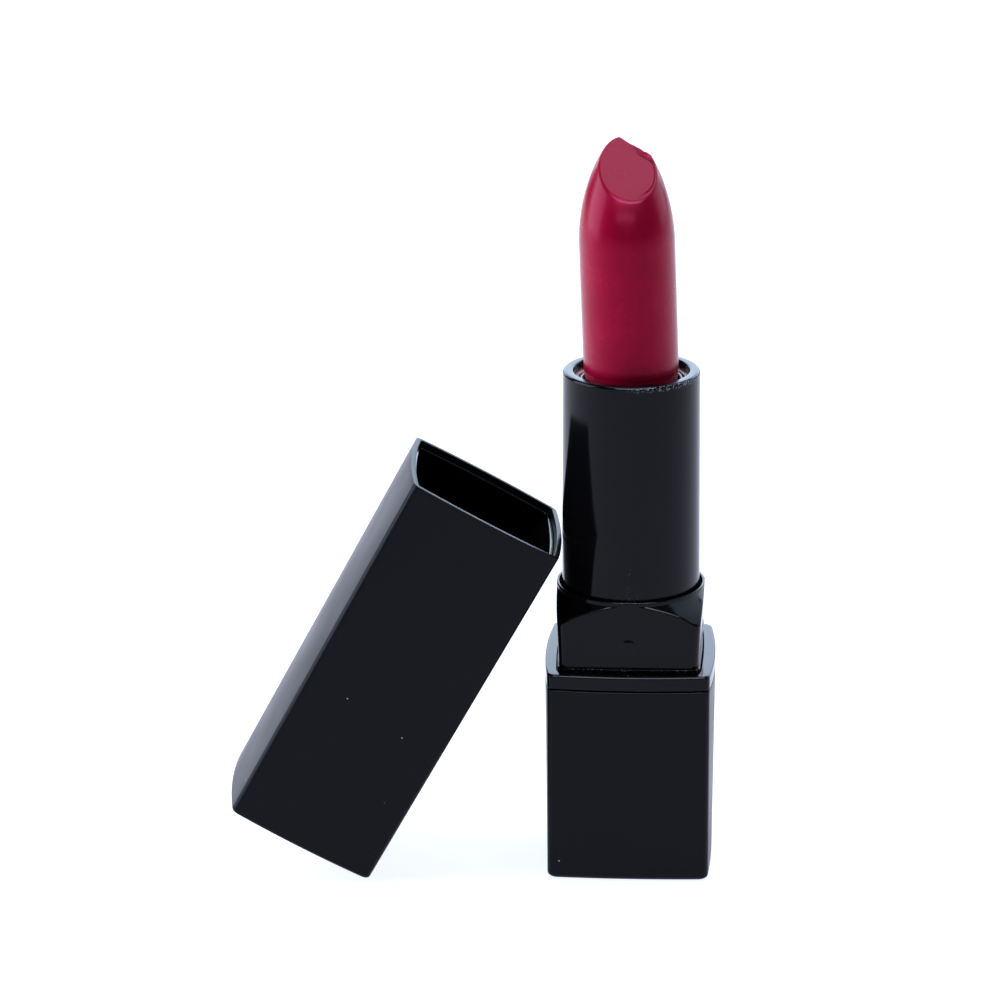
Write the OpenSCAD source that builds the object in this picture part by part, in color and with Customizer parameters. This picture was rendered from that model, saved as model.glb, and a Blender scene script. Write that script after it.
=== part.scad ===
// Square lipstick case: a twist-up mechanism in a square base, with its cap
// leaning against the raised shell. Millimetres, +Z up. The origin is the
// middle of the base's underside, and -Y is the front.

/* [Case] */
// Width across the middle of two opposite faces
case_w = 21.6; // [21.2:0.1:22.4]
// Radius of the shallow bow of each outer face
face_bow_r = 78; // [60:1:160]
// Radius of the bow of the base's faces at its foot, where they are flatter
foot_bow_r = 150; // [60:10:400]
// Radius of the upright edges
case_corner_r = 0.9; // [0.6:0.1:1.4]
// Height of the base shell
base_h = 25.5; // [25:0.5:30]
// Width of the base's underside as a share of case_w
base_taper = 0.972; // [0.96:0.002:1]
// Radius of the edge round the base's underside
base_edge_r = 0.8; // [0.6:0.1:1.4]
// Wall thickness of the base shell
base_wall = 1.1; // [0.9:0.05:1.2]
// Thickness of the shoulder plate above the seam
shoulder_t = 1.85; // [1.5:0.05:2.5]
// Open seam between the base shell and the shoulder plate
seam_gap = 0.2; // [0.1:0.05:0.4]
// Thickness of the steel ballast block
weight_t = 6; // [3:0.5:6]

/* [Collar] */
// Height of the collar above the shoulder plate
collar_h = 9.35; // [8.5:0.05:10]
// Width of the collar at its foot
collar_foot_w = 17.96; // [17.8:0.02:18.1]
// Width of the collar at its top
collar_top_w = 18.74; // [18.5:0.02:18.8]
// Radius of the bow of the collar's faces
collar_bow_r = 150; // [120:5:220]
// Radius of the collar's upright edges
collar_corner_r = 1.2; // [0.9:0.05:1.3]
// Radius of the round ring that ends the collar
ring_r = 9.42; // [9.3:0.02:9.46]
// Diameter of the round bumps that hold the cap
bump_d = 2.4; // [1:0.1:2.4]
// How far the bumps stand out
bump_rise = 0.18; // [0.15:0.01:0.2]

/* [Shell] */
// Outer radius of the shell at its mouth
shell_top_r = 8.58; // [8.5:0.01:8.65]
// Outer radius of the shell at its foot
shell_foot_r = 8.72; // [8.65:0.01:8.76]
// Height of the shell's mouth above the underside of the base
shell_top_z = 64.6; // [64:0.1:66]
// Radius of the hole in the shell's mouth
mouth_r = 7.26; // [7:0.02:7.4]

/* [Mechanism] */
// Travel of the cup from lowered to raised
travel = 30; // [26:0.5:30]
// Rise of the cup in one turn of the shell
lead = 24; // [22:1:28]
// Diameter of the cup's two drive pegs
peg_d = 2; // [1.6:0.1:2.2]
// Clearance round each peg in the slots and grooves
peg_gap = 0.1; // [0.08:0.01:0.15]

/* [Bullet] */
// Diameter of the lipstick
bullet_d = 11.9; // [11.6:0.05:11.9]
// Height of the rounded point
point_h = 13.5; // [12:0.1:16]
// Fullness of the point, where a smaller number is blunter
point_power = 0.66; // [0.5:0.01:0.8]
// How far the point bends to the back
point_bend = 3.6; // [2:0.1:4]
// Lean of the raised part to the left
bullet_lean = 2; // [0:0.1:2.3]
// Slope of the slanted face's normal away from upright
facet_slope = 34.6; // [30:0.2:40]
// Direction that the slanted face looks in, from +X
facet_turn = -75.2; // [-90:0.2:-60]
// Depth of the slanted face below the point, along its normal
facet_depth = 3.5; // [3:0.1:4]
// Slope of the back cut's normal away from upright
back_slope = 39.4; // [32:0.2:46]
// Direction that the back cut looks in, from +X
back_turn = 25.6; // [10:0.2:40]

/* [Cap] */
// Length of the cap from mouth to closed end
cap_len = 49.4; // [47:0.1:52]
// Width of the cap's closed end as a share of case_w
cap_taper = 0.962; // [0.95:0.002:1]
// Wall thickness of the cap's outer shell
cap_wall = 0.7; // [0.6:0.05:0.8]
// Wall thickness of the cap's liner
liner_wall = 0.5; // [0.4:0.05:0.5]
// How far the liner's rim lies inside the mouth
liner_recess = 0.8; // [0.5:0.1:1.5]
// Radius of the edge round the closed end
cap_edge_r = 0.5; // [0.3:0.1:1]
// Lean of the parked cap away from upright
cap_lean = 29.1; // [28:0.1:30]
// Direction that the parked cap leans in, measured from where it stands
cap_turn = 1.85; // [0:0.05:5]
// Turn of the parked cap about its own axis
cap_spin = 2.1; // [-3:0.05:3]
// Gap between the parked cap's mouth and the shell
cap_gap = 0.02; // [0.01:0.01:0.3]
// Sideways place of the parked cap's closed end
cap_y = -1.77; // [-3:0.01:0]
// How far round the case the cap stands, from its left side
cap_side = 1.5; // [-3:0.1:3]

/* [Hidden] */

$fn = 96;
face_steps = 8;
corner_steps = 4;
edge_steps = 4;
over = 0.05; // how far a cutter passes a face

// Stack of the base, from the underside up
floor_t = 1.6;
label_w = 13;
label_t = 0.12;
label_recess = 0.35;
inner_bow_r = 110;
base_cavity_w = case_w - 2 * base_wall;
core_z = floor_t + weight_t;
core_drop = 1.9; // how far the core ends below the rim of the base shell
collar_flange_z = base_h - core_drop;
collar_flange_t = 1.4;
shoulder_z = base_h + seam_gap;
shoulder_top_z = shoulder_z + shoulder_t;
shoulder_edge_r = 0.2;
slip = 0.05; // clearance of parts that slide together once, at assembly

// Collar
ring_top_z = shoulder_top_z + collar_h;
ring_land = 0.55;
ring_lip_r = 0.14;
// Steps of the dome that ends the flats, outward and down from the ring
dome_steps = [[3.35, 4.2], [3.05, 3.45], [2.6, 2.75], [1.8, 1.9], [0.35, 0.85]];
ring_gap = 0.34; // open ring between the collar and the shell
ring_bore_r = shell_foot_r + ring_gap;
plinth_step = 0.18;
plinth_w = collar_foot_w + 2 * plinth_step;
plinth_h = 0.45;
shell_seat_depth = 2.1;
shell_seat_z = ring_top_z - shell_seat_depth;
bump_h = 3.25;
bump_z = shoulder_top_z + bump_h;

// Turning parts
sleeve_r = 8;
sleeve_bore_r = 7.28;
groove_r = 7.72;
sleeve_lip_r = 8.35;
sleeve_lip_t = 1;
running_gap = 0.1;
fork_r = 7.18;
fork_bore_r = 6.75;
fork_foot_r = 7.9;
fork_z = 17;
fork_foot_t = 1.4;
sleeve_z = fork_z + fork_foot_t + running_gap;
sleeve_top_z = shell_top_z - 1.15;
fork_top_z = sleeve_top_z - slip;
shell_foot_z = shell_seat_z + running_gap;
shell_lip_t = 1;
shell_rim_r = 0.4;
brake_h = 3.3; // height of the brake ring above the sleeve's foot
brake_z = sleeve_z + brake_h;
brake_wire_r = 0.44;

// Raised cup, which is how the case is shown
cup_r = 6.6;
cup_bore_r = 6;
cup_h = 11;
cup_floor_t = 1;
cup_top_z = shell_top_z - shell_lip_t;
cup_z = cup_top_z - cup_h;
peg_h = 1.4; // height of the pegs above the cup's underside
peg_z = cup_z + peg_h;
peg_reach_r = 7.62;
slot_w = peg_d + 2 * peg_gap;

// Bullet
bullet_r = bullet_d / 2;
bullet_z = cup_z + cup_floor_t;
bullet_tip_z = 94.3; // where the point would end without its cuts
bullet_top = bullet_tip_z - cup_top_z;
bullet_slice = 0.8; // how deep the leaning part starts in the cup

// Outline of a square with four bowed sides and rounded corners. The bow and
// the corner arc meet on one tangent, at angle a from the middle of a side.
function spin(p, angle) = [p.x * cos(angle) - p.y * sin(angle), p.x * sin(angle) + p.y * cos(angle)];
function corner_at(m, span) = (sqrt(2 * span * span - m * m) - m) / 2;
function arc(centre, r, from, to, steps, first) =
    [for (i = [first : steps - first]) let (t = from + (to - from) * i / steps)
        [centre.x + r * cos(t), centre.y + r * sin(t)]];
function quarter(w, bow_r, corner_r) =
    let (
        m = bow_r - w / 2,
        c = corner_at(m, bow_r - corner_r),
        a = atan2(c, c + m)
    )
    concat(
        arc([-m, 0], bow_r, -a, a, face_steps, 0),
        arc([c, c], corner_r, a, 90 - a, corner_steps, 1)
    );
function pillow_points(w, bow_r, corner_r) =
    [for (k = [0 : 3]) for (p = quarter(w, bow_r, corner_r)) spin(p, 90 * k)];

module pillow(w, bow_r = inner_bow_r, corner_r = 0.5) {
    polygon(pillow_points(w, bow_r, corner_r));
}

module pillow_prism(z, h, w, bow_r = inner_bow_r, corner_r = 0.5) {
    translate([0, 0, z]) linear_extrude(h) pillow(w, bow_r, corner_r);
}

// Solid through a list of rings, from low to high, each with equally many points
module stack(rings) {
    n = len(rings[0]);
    top = (len(rings) - 1) * n;
    sides = [for (k = [0 : len(rings) - 2]) for (i = [0 : n - 1])
        let (j = (i + 1) % n, low = k * n, high = low + n)
        each [[low + i, high + i, high + j], [low + i, high + j, low + j]]];
    polyhedron(
        points = [for (ring = rings) each ring],
        faces = concat(sides, [[for (i = [0 : n - 1]) i]], [[for (i = [n - 1 : -1 : 0]) top + i]])
    );
}

// Solid through a list of levels, each [z, width, bow radius, corner radius]
module loft(levels) {
    stack([for (s = levels) [for (p = pillow_points(s[1], s[2], s[3])) [p.x, p.y, s[0]]]]);
}

// Levels of a tapering case part whose end at z = 0 has a rounded edge
function rounded_end(end_w, slope, edge_r, bow_r = face_bow_r) =
    [for (i = [0 : edge_steps]) let (t = 90 * i / edge_steps, z = edge_r * (1 - cos(t)))
        [z, end_w + slope * z - 2 * edge_r * (1 - sin(t)), bow_r, case_corner_r]];

module turned(z) {
    translate([0, 0, z]) rotate_extrude() children();
}

module tube(z, h, r, bore) {
    turned(z) translate([bore, 0]) square([r - bore, h]);
}

module base_shell() {
    end_w = case_w * base_taper;
    levels = concat(
        rounded_end(end_w, (case_w - end_w) / base_h, base_edge_r, foot_bow_r),
        [[base_h, case_w, face_bow_r, case_corner_r]]
    );
    color("#1b1c21") difference() {
        loft(levels);
        pillow_prism(floor_t, base_h, base_cavity_w);
        pillow_prism(-over, label_recess + over, label_w + 2 * slip, inner_bow_r, 1.5);
    }
}

module base_weight() {
    hole_r = 3;
    color("#8b8f94") difference() {
        pillow_prism(floor_t, weight_t, base_cavity_w - 2 * slip);
        translate([0, 0, floor_t - over]) cylinder(r = hole_r, h = weight_t + 2 * over);
    }
}

module base_core() {
    hollow_r = 6.4;
    hollow_floor_t = 1.4;
    relief_r = 1.3;
    relief_at = 7.4;
    relief_floor_t = 3;
    lip_room = sleeve_lip_r + running_gap;
    brake_room_r = sleeve_r + 2 * brake_wire_r + running_gap;
    brake_room_h = 1;
    color("#26272c") difference() {
        pillow_prism(core_z, collar_flange_z - core_z, base_cavity_w - 2 * slip);
        translate([0, 0, core_z + hollow_floor_t]) cylinder(r = hollow_r, h = fork_z);
        translate([0, 0, fork_z]) cylinder(r = fork_foot_r, h = base_h);
        translate([0, 0, sleeve_z - running_gap]) cylinder(r = lip_room, h = sleeve_lip_t + 2 * running_gap);
        translate([0, 0, sleeve_z]) cylinder(r = sleeve_r + running_gap, h = base_h);
        tube(brake_z - brake_room_h / 2, brake_room_h, brake_room_r, sleeve_r);
        for (k = [0 : 3])
            rotate([0, 0, 90 * k]) translate([relief_at, relief_at, core_z + relief_floor_t])
                cylinder(r = relief_r, h = base_h);
    }
}

module base_label() {
    color("#d9d9d6") pillow_prism(label_recess - label_t, label_t, label_w, inner_bow_r, 1.5);
}

module brake_ring() {
    contact = 0.02;
    color("#3a3a3a") turned(brake_z) translate([sleeve_r + contact + brake_wire_r, 0]) circle(brake_wire_r);
}

module shoulder_plate() {
    spigot_z = collar_flange_z + collar_flange_t;
    opening_gap = 0.1;
    opening_w = plinth_w + 2 * opening_gap;
    ring_levels = [for (s = rounded_end(case_w, 0, shoulder_edge_r)) [shoulder_top_z - s[0], s[1], s[2], s[3]]];
    levels = concat(
        [[shoulder_z, case_w, face_bow_r, case_corner_r]],
        [for (i = [len(ring_levels) - 1 : -1 : 0]) ring_levels[i]]
    );
    color("#1b1c21") difference() {
        union() {
            loft(levels);
            pillow_prism(spigot_z, shoulder_z - spigot_z + over, base_cavity_w - 2 * slip);
        }
        pillow_prism(spigot_z - over, case_w, opening_w, collar_bow_r, collar_corner_r + opening_gap);
    }
}

// The collar's outside: a ring that domes out over the corners of the square
module collar_dome() {
    past_corner_r = case_w;
    turned(0) polygon([
        [0, collar_flange_z - over],
        [past_corner_r, collar_flange_z - over],
        [past_corner_r, shoulder_top_z],
        for (d = dome_steps) [ring_r + d[0], ring_top_z - d[1]],
        [ring_r, ring_top_z - ring_land],
        [ring_r, ring_top_z - ring_lip_r],
        [ring_r - ring_lip_r, ring_top_z],
        [0, ring_top_z]
    ]);
}

module collar() {
    bump_r = (bump_d * bump_d / 4 + bump_rise * bump_rise) / (2 * bump_rise);
    bump_face = (collar_foot_w + (collar_top_w - collar_foot_w) * (bump_z - shoulder_top_z) / collar_h) / 2;
    color("#141519") difference() {
        union() {
            intersection() {
                loft([
                    [collar_flange_z, collar_foot_w, collar_bow_r, collar_corner_r],
                    [shoulder_top_z, collar_foot_w, collar_bow_r, collar_corner_r],
                    [ring_top_z, collar_top_w, collar_bow_r, collar_corner_r]
                ]);
                collar_dome();
            }
            pillow_prism(collar_flange_z, collar_flange_t, base_cavity_w - 2 * slip);
            pillow_prism(shoulder_z, shoulder_t + plinth_h, plinth_w, collar_bow_r, collar_corner_r);
            for (k = [0 : 3])
                rotate([0, 0, 90 * k]) translate([bump_face + bump_rise - bump_r, 0, bump_z])
                    sphere(bump_r);
        }
        translate([0, 0, collar_flange_z - over]) cylinder(r = sleeve_r + running_gap, h = ring_top_z);
        translate([0, 0, shell_seat_z]) cylinder(r = ring_bore_r, h = collar_h);
    }
}

module fork_tube() {
    drain_r = 2;
    floor_h = 1.2;
    low = peg_z - travel;
    color("#e8e6df") difference() {
        union() {
            turned(fork_z) square([fork_foot_r, fork_foot_t]);
            turned(fork_z) square([fork_r, fork_top_z - fork_z]);
        }
        translate([0, 0, fork_z + floor_h]) cylinder(r = fork_bore_r, h = fork_top_z);
        translate([0, 0, fork_z - over]) cylinder(r = drain_r, h = floor_h + 2 * over);
        translate([-case_w / 2, -slot_w / 2, low]) cube([case_w, slot_w, travel]);
        for (z = [low, peg_z])
            translate([0, 0, z]) rotate([0, 90, 0]) cylinder(r = slot_w / 2, h = case_w, center = true);
    }
}

// One helical groove: a bent bar that climbs one lead in each turn
module groove() {
    slack = 1.1; // the bar's slope makes its cut wider than the slot
    half_angle = asin(slot_w / 2 / sleeve_bore_r) + 180 * slack * slot_w / lead;
    inner_r = fork_r - slot_w / 10;
    run = travel + 2 * slot_w;
    arc_steps = 4;
    outline = concat(
        arc([0, 0], inner_r, -half_angle, half_angle, arc_steps, 0),
        arc([0, 0], groove_r, half_angle, -half_angle, arc_steps, 0)
    );
    translate([0, 0, peg_z - travel - slot_w]) rotate([0, 0, -360 * (travel + slot_w) / lead])
        linear_extrude(run, twist = -360 * run / lead, slices = 60, $fn = 10) polygon(outline);
}

module cam_sleeve() {
    color("#e8e6df") difference() {
        union() {
            tube(sleeve_z, sleeve_top_z - sleeve_z, sleeve_r, sleeve_bore_r);
            tube(sleeve_z, sleeve_lip_t, sleeve_lip_r, sleeve_bore_r);
        }
        groove();
        rotate([0, 0, 180]) groove();
    }
}

module a_shell() {
    rim = arc([shell_top_r - shell_rim_r, shell_top_z - shell_rim_r], shell_rim_r, 0, 90, 6, 0);
    lip_z = shell_top_z - shell_lip_t;
    mouth_edge = 0.2;
    color("#141519") rotate_extrude() polygon(concat(
        [[sleeve_r, shell_foot_z], [shell_foot_r, shell_foot_z]],
        rim,
        [[mouth_r + mouth_edge, shell_top_z], [mouth_r, shell_top_z - mouth_edge], [mouth_r, lip_z]],
        [[sleeve_r, lip_z]]
    ));
}

module cup() {
    hole_r = 2;
    color("#141519") difference() {
        union() {
            translate([0, 0, cup_z]) cylinder(r = cup_r, h = cup_h);
            translate([0, 0, peg_z]) rotate([0, 90, 0])
                cylinder(d = peg_d, h = 2 * peg_reach_r, center = true);
        }
        translate([0, 0, cup_z + cup_floor_t]) cylinder(r = cup_bore_r, h = cup_h);
        translate([0, 0, cup_z - over]) cylinder(r = hole_r, h = cup_h);
    }
}

// Ring of the uncut bullet at a depth below its point. It narrows and bends
// to the back as it rises, with u from 0 at the foot of the point to 1.
function point_ring(below) =
    let (
        u = max(0, 1 - below / point_h),
        r = bullet_r * pow(1 - u * u, point_power)
    )
    [for (i = [0 : $fn - 1]) let (t = 360 * i / $fn)
        [r * cos(t), r * sin(t) + point_bend * u * u, bullet_top - below]];

// All that lies above a sloping plane, at a depth below the point
module above_cut(slope, direction, depth) {
    reach = 40;
    translate([0, 0, bullet_top]) rotate([0, 0, direction]) rotate([0, slope, 0])
        translate([-reach / 2, -reach / 2, -depth]) cube(reach);
}

module bullet() {
    point_levels = 14;
    crowding = 1.6; // more than 1 draws the levels together near the point
    depths = concat(
        [bullet_top + bullet_slice],
        [for (i = [point_levels : -1 : 1]) point_h * pow(i / point_levels, crowding)]
    );
    color("#9c1238") union() {
        translate([0, 0, bullet_z]) cylinder(r = bullet_r - slip, h = cup_top_z - bullet_z);
        translate([0, 0, cup_top_z]) rotate([0, -bullet_lean, 0]) difference() {
            stack([for (below = depths) point_ring(below)]);
            above_cut(facet_slope, facet_turn, facet_depth);
            above_cut(back_slope, back_turn, 0);
        }
    }
}

// The cap stands on its closed end at z = 0 with its mouth up, and parked()
// leans it over on one edge until its mouth nearly touches the shell.
module parked() {
    end_half = case_w * cap_taper / 2;
    stand_z = (end_half - cap_edge_r) * sin(cap_lean) - cap_edge_r * cos(cap_lean) + cap_edge_r;
    mouth_shift = cap_len * sin(cap_lean) + case_w / 2 * cos(cap_lean);
    mouth_z = stand_z + cap_len * cos(cap_lean) - case_w / 2 * sin(cap_lean);
    shell_z_share = (mouth_z - shell_foot_z) / (shell_top_z - shell_foot_z);
    shell_r = shell_foot_r + (shell_top_r - shell_foot_r) * shell_z_share;
    rotate([0, 0, cap_side]) translate([-shell_r - cap_gap - mouth_shift, cap_y, stand_z])
        rotate([0, 0, cap_turn]) rotate([0, cap_lean, 0]) rotate([0, 0, cap_spin - cap_turn])
            children();
}

module cap_shell() {
    end_w = case_w * cap_taper;
    slope = (case_w - end_w) / cap_len;
    mouth_edge = 0.15;
    outside = concat(
        rounded_end(end_w, slope, cap_edge_r),
        [
            [cap_len - mouth_edge, case_w - slope * mouth_edge, face_bow_r, case_corner_r],
            [cap_len, case_w - 2 * mouth_edge, face_bow_r, case_corner_r]
        ]
    );
    inside = [
        [cap_wall, end_w + slope * cap_wall - 2 * cap_wall, face_bow_r, 0.5],
        [cap_len + over, case_w - 2 * cap_wall, face_bow_r, 0.5]
    ];
    color("#1b1c21") parked() difference() {
        loft(outside);
        loft(inside);
    }
}

module cap_liner() {
    end_w = case_w * cap_taper;
    slope = (case_w - end_w) / cap_len;
    skin = 2 * (cap_wall + slip);
    walls = skin + 2 * liner_wall;
    low = cap_wall + slip;
    high = cap_len - liner_recess;
    color("#141519") parked() difference() {
        loft([
            [low, end_w + slope * low - skin, face_bow_r, 0.45],
            [high, end_w + slope * high - skin, face_bow_r, 0.45]
        ]);
        loft([
            [low + liner_wall, end_w + slope * (low + liner_wall) - walls, inner_bow_r, 0.4],
            [high + over, end_w + slope * high - walls, inner_bow_r, 0.4]
        ]);
    }
}

base_shell();
base_weight();
base_core();
base_label();
brake_ring();
shoulder_plate();
collar();
fork_tube();
cam_sleeve();
a_shell();
cup();
bullet();
cap_shell();
cap_liner();
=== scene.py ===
"""Visual model of a square lipstick case: smooth moulded skins around the CAD frame."""

import math

import bmesh
import bpy
from mathutils import Matrix, Quaternion, Vector, noise


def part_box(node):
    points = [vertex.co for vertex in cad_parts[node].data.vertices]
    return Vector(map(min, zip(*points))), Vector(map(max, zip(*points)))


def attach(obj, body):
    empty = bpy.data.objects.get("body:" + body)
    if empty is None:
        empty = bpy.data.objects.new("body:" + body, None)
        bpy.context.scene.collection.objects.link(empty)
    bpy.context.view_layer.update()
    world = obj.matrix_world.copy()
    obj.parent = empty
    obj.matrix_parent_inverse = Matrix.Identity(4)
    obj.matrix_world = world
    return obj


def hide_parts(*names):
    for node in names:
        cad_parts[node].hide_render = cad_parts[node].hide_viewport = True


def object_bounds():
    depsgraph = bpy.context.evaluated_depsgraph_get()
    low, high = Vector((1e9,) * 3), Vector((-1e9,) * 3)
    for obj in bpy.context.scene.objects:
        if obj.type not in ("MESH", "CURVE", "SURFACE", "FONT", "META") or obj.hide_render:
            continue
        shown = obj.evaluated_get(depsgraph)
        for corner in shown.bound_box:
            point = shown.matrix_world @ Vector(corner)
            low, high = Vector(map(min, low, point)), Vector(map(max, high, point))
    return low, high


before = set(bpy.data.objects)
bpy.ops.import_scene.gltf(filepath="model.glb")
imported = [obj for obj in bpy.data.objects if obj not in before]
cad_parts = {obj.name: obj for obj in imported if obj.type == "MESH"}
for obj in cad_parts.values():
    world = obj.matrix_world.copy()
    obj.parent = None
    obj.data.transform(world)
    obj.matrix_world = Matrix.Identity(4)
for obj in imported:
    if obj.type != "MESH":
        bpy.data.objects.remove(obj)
cad_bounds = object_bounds()

MM = 0.001


# Sizes, in millimetres. What the frame shows is measured from it.


def box(node):
    low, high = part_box(node)
    return low / MM, high / MM


BASE_LOW, BASE_HIGH = box("base_shell")
SHOULDER_LOW, SHOULDER_HIGH = box("shoulder_plate")
COLLAR_LOW, COLLAR_HIGH = box("collar")
SHELL_LOW, SHELL_HIGH = box("a_shell")
CUP_LOW, CUP_HIGH = box("cup")

# Base and shoulder. A bow radius is that of the slight outward curve of a flat side.
CASE_W = BASE_HIGH.x - BASE_LOW.x
CASE_BOW_R = 78
CASE_CORNER_R = 0.9
BASE_H = BASE_HIGH.z
BASE_FOOT_W = CASE_W * 0.972
BASE_EDGE_R = 0.8
FOOT_BOW_R = 150
CAVITY_W = CASE_W - 2.2
CAVITY_FLOOR_Z = 1.6
CAVITY_BOW_R = 110
CAVITY_CORNER_R = 0.5
RECESS_W = 13.1
RECESS_CORNER_R = 1.5
RECESS_DEPTH = 0.35
SEAM = 0.2
SEAM_Z = BASE_H + SEAM
SHOULDER_Z = SHOULDER_HIGH.z
SHOULDER_EDGE_R = 0.32
SPIGOT_W = CAVITY_W - 0.1
RIM_EDGE_R = 0.12

# Collar. The dome's steps are how far out from the ring, and how far below its top, its bends lie.
RING_TOP_Z = COLLAR_HIGH.z
COLLAR_FOOT_W = 17.96
COLLAR_TOP_W = 18.74
COLLAR_BOW_R = 150
COLLAR_CORNER_R = 1.2
PLINTH_W = COLLAR_FOOT_W + 0.36
PLINTH_H = 0.45
PLINTH_GAP = 0.1
FLANGE_T = 1.4
RING_R = 9.42
RING_LAND = 0.55
RING_LIP_R = 0.14
RING_BORE_R = SHELL_HIGH.x + 0.34
DOME_STEPS = ((3.35, 4.2), (3.05, 3.45), (2.6, 2.75), (1.8, 1.9), (0.35, 0.85), (0, RING_LAND))
DOME_DROP = 8
COLLAR_BORE_R = 8.1
SHELL_SEAT_Z = SHELL_LOW.z - 0.1
ARCH_EDGE = 0.22
BUMP_Z = SHOULDER_Z + 3.25
BUMP_R = 1.2
BUMP_RISE = 0.18
BUMP_PATCH = 1.3

# Shell and the cup inside it
SHELL_FOOT_R = SHELL_HIGH.x
SHELL_TOP_R = 8.58
SHELL_BORE_R = 8
SHELL_RIM_R = 0.4
MOUTH_R = 7.26
MOUTH_EDGE_R = 0.22
LIP_T = 1

CUP_R = 6.6
CUP_BORE_R = 6
CUP_FLOOR_T = 1
CUP_HOLE_R = 2
PEG_R = 1
PEG_Z = CUP_LOW.z + 1.4

# Bullet. Heights are above the cup's rim, and slopes and turns are those of its two cuts.
BULLET_R = 5.95
BULLET_TOP = 94.3 - CUP_HIGH.z
POINT_H = 13.5
POINT_POWER = 0.66
POINT_BEND = 3.6
BULLET_LEAN = math.radians(2)
FACET_SLOPE = math.radians(34.6)
FACET_TURN = math.radians(-75.2)
FACET_DEPTH = 3.5
BACK_SLOPE = math.radians(39.4)
BACK_TURN = math.radians(25.6)
SCRAPED_H = 1.2
SOFT_RIM_TURN = math.radians(232)
BURR_H = 0.3
GROOVE_DEPTH = 0.1
SCORE_DEPTH = 0.07

# Cap and its liner, and how the cap leans on the shell
CAP_LEN = 49.4
CAP_END_W = CASE_W * 0.962
CAP_WALL = 0.7
CAP_EDGE_R = 0.5
CAP_MOUTH_R = 0.08
CAP_LEAN = math.radians(29.1)
CAP_TURN = math.radians(1.85)
CAP_SPIN = math.radians(2.1)
CAP_GAP = 0.02
CAP_Y = -1.77
CAP_SIDE = math.radians(1.5)
LINER_WALL = 0.5
LINER_RECESS = 0.8
LINER_EDGE_R = 0.14
SLIP = 0.05

# Points closer together than this become one
WELD = 0.0005


# Camera, light and floor


def add_camera():
    target = Vector((-16.61, 1.05, 46.88)) * MM
    distance = 556.9 * MM
    azimuth = math.radians(3.538)
    elevation = math.radians(17.745)
    roll = math.radians(-0.364)
    back = Vector((
        math.sin(azimuth) * math.cos(elevation),
        -math.cos(azimuth) * math.cos(elevation),
        math.sin(elevation),
    ))
    data = bpy.data.cameras.new("camera")
    data.sensor_width = 36
    data.lens = 158.57
    data.clip_start = 0.01
    data.clip_end = 50
    camera = bpy.data.objects.new("camera", data)
    camera.location = target + back * distance
    camera.rotation_mode = "QUATERNION"
    camera.rotation_quaternion = (-back).to_track_quat("-Z", "Y") @ Quaternion((0, 0, 1), roll)
    bpy.context.scene.collection.objects.link(camera)
    bpy.context.scene.camera = camera


def add_panel(name, place, size, radiance, colour, target=(0, 0, 0.04), diffuse=True, glossy=True):
    """A soft light panel that faces the target. Place, size and target are in metres."""
    data = bpy.data.lights.new(name, "AREA")
    data.shape = "RECTANGLE"
    data.size, data.size_y = size
    data.energy = radiance * math.pi * size[0] * size[1]
    data.color = colour
    panel = bpy.data.objects.new(name, data)
    panel.location = place
    panel.visible_diffuse = diffuse
    panel.visible_glossy = glossy
    panel.rotation_euler = (Vector(place) - Vector(target)).to_track_quat("Z", "Y").to_euler()
    bpy.context.scene.collection.objects.link(panel)


def add_lights():
    cool = (0.66, 0.8, 1)
    add_panel("top_panel", (0, 0.1, 1.2), (0.7, 0.6), 5.2, (0.86, 0.86, 1))
    add_panel("back_panel", (0, 1.3, 0.55), (2.2, 0.8), 4.8, cool, (0, 0, 0.2))
    add_panel("left_panel", (-0.6, -0.02, 0.28), (0.5, 0.5), 6, cool)
    add_panel("right_panel", (0.75, 0.35, 0.55), (0.7, 1), 2.2, cool)
    add_panel("left_fill", (-0.5, 0.0, 0.4), (0.3, 0.3), 6, (1, 0.85, 0.9), glossy=False)
    add_panel("front_panel", (0, -1.0, 0.62), (0.9, 0.08), 14, cool, diffuse=False)
    add_panel("high_panel", (0.1, -0.6, 1.05), (1.1, 0.35), 26, cool, diffuse=False)
    world = bpy.data.worlds.new("studio")
    world.use_nodes = True
    background = world.node_tree.nodes["Background"]
    background.inputs["Color"].default_value = (0.75, 0.87, 1, 1)
    background.inputs["Strength"].default_value = 0.12
    bpy.context.scene.world = world
    bpy.context.scene.view_settings.view_transform = "Standard"


# Materials


def add(tree, kind, inputs=None, **settings):
    """Adds a node. An input's value is either a number or colour, or another node's output."""
    node = tree.nodes.new(kind)
    for key, value in settings.items():
        setattr(node, key, value)
    for key, value in (inputs or {}).items():
        if isinstance(value, bpy.types.NodeSocket):
            tree.links.new(value, node.inputs[key])
        else:
            node.inputs[key].default_value = value
    return node


def rgb(code):
    """Linear colour of an sRGB code such as 1b1c21."""
    channels = [int(code[i:i + 2], 16) / 255 for i in (0, 2, 4)]
    return [c / 12.92 if c < 0.04045 else ((c + 0.055) / 1.055) ** 2.4 for c in channels] + [1]


def new_material(name, **fixed):
    """A Principled material, with the numbers that are the same all over set on the shader."""
    material = bpy.data.materials.new(name)
    material.use_nodes = True
    tree = material.node_tree
    shader = tree.nodes["Principled BSDF"]
    for key, value in fixed.items():
        shader.inputs[key.replace("_", " ")].default_value = value
    place = add(tree, "ShaderNodeTexCoord").outputs["Object"]
    return material, tree, shader, place


def grain(tree, place, size, detail=2.0, rough=0.5):
    """Even noise whose features are about size millimetres across."""
    node = add(tree, "ShaderNodeTexNoise", {
        "Vector": place, "Scale": 1 / (size * MM), "Detail": detail, "Roughness": rough,
    })
    return node.outputs["Fac"]


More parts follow.
